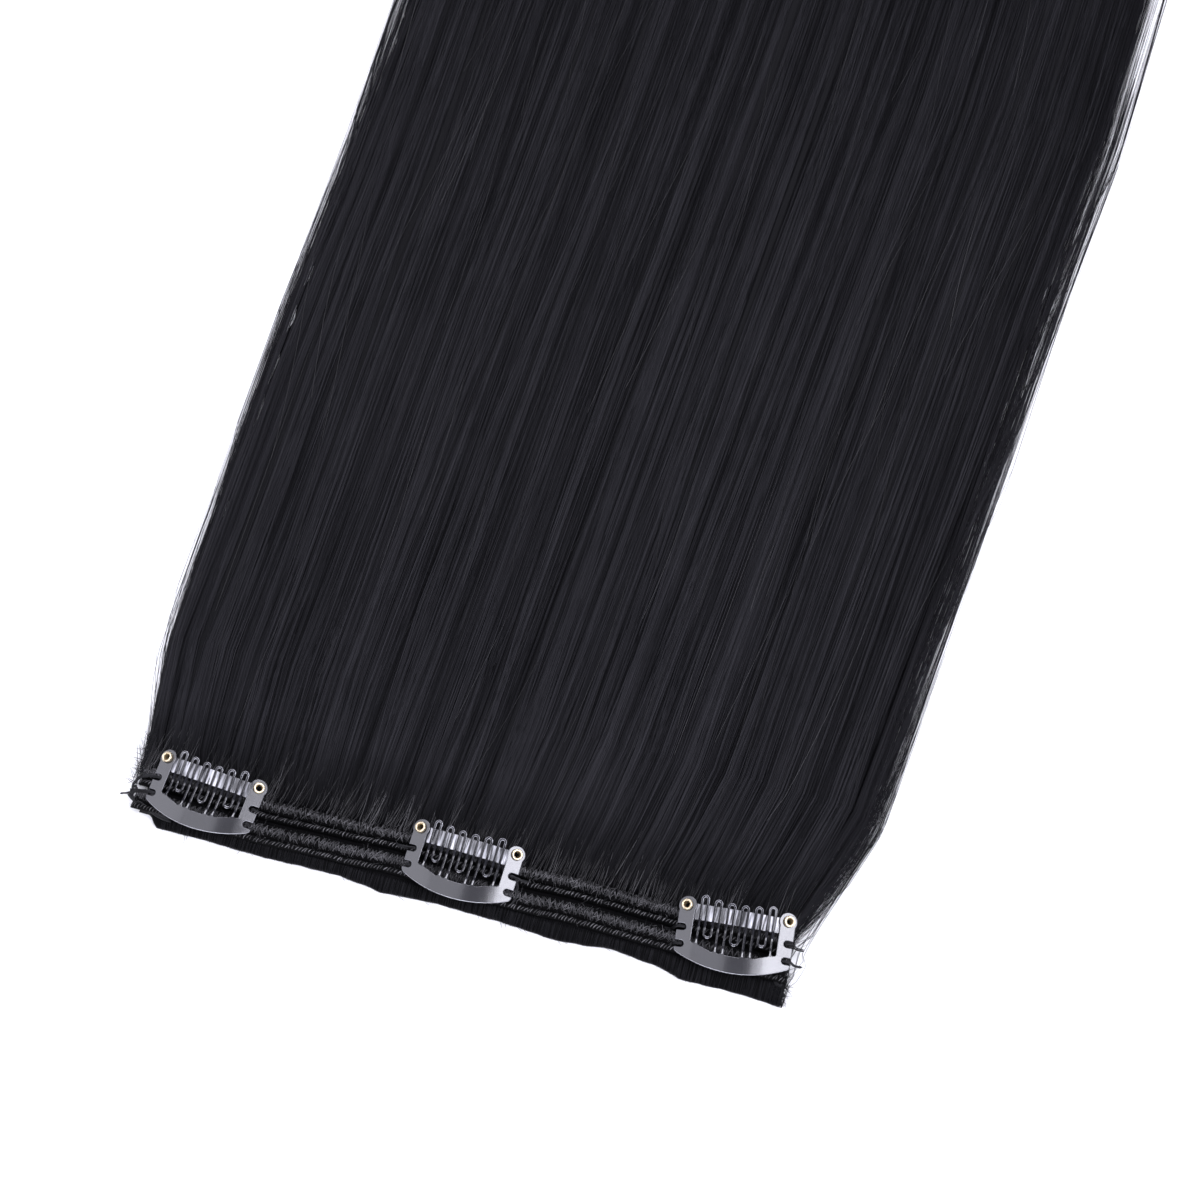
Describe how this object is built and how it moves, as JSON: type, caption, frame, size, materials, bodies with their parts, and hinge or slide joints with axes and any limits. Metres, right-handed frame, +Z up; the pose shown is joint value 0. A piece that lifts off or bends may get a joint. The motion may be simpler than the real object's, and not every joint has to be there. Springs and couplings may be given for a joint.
{
  "type": "clip in hair extension",
  "caption": "Length of long straight hair fanning from a narrow sewn band, with arched snap comb clips lying along the band for fixing it into the wearer's own hair",
  "frame": {"origin": "middle of the part's box in X and Y, on the floor that it lies on", "axes": "+X along the sewn band towards the right clip, +Y from the band to the hair's tips, +Z up"},
  "size_m": [0.2614, 0.45, 0.0104],
  "materials": {
    "hair": "jet black straight hair with a soft sheen",
    "track": "black hair sewn down with black thread",
    "lacquer": "black gloss lacquer on spring steel",
    "brass": "polished pale brass"
  },
  "bodies": {
    "weft": {"hair_locks": "hair", "lower_track": "track", "upper_track": "track", "left_frame": "lacquer", "left_bar": "lacquer", "left_eyelet_a": "brass", "left_eyelet_b": "brass", "middle_frame": "lacquer", "middle_bar": "lacquer", "middle_eyelet_a": "brass", "middle_eyelet_b": "brass", "right_frame": "lacquer", "right_bar": "lacquer", "right_eyelet_a": "brass", "right_eyelet_b": "brass"},
    "left_comb": {"left_comb": "lacquer"},
    "middle_comb": {"middle_comb": "lacquer"},
    "right_comb": {"right_comb": "lacquer"}
  },
  "joints": [
    {"name": "left_comb_hinge", "type": "hinge", "parent": "weft", "child": "left_comb", "pos_m": [-0.08981, -0.22004, 0.00794], "axis": [0.9979, -0.0645, 0], "range_deg": [0, 35]},
    {"name": "middle_comb_hinge", "type": "hinge", "parent": "weft", "child": "middle_comb", "pos_m": [-0.01222, -0.22003, 0.00783], "axis": [0.9998, -0.0192, 0], "range_deg": [0, 35]},
    {"name": "right_comb_hinge", "type": "hinge", "parent": "weft", "child": "right_comb", "pos_m": [0.06798, -0.22005, 0.00801], "axis": [0.9954, 0.0958, 0], "range_deg": [0, 35]}
  ]
}
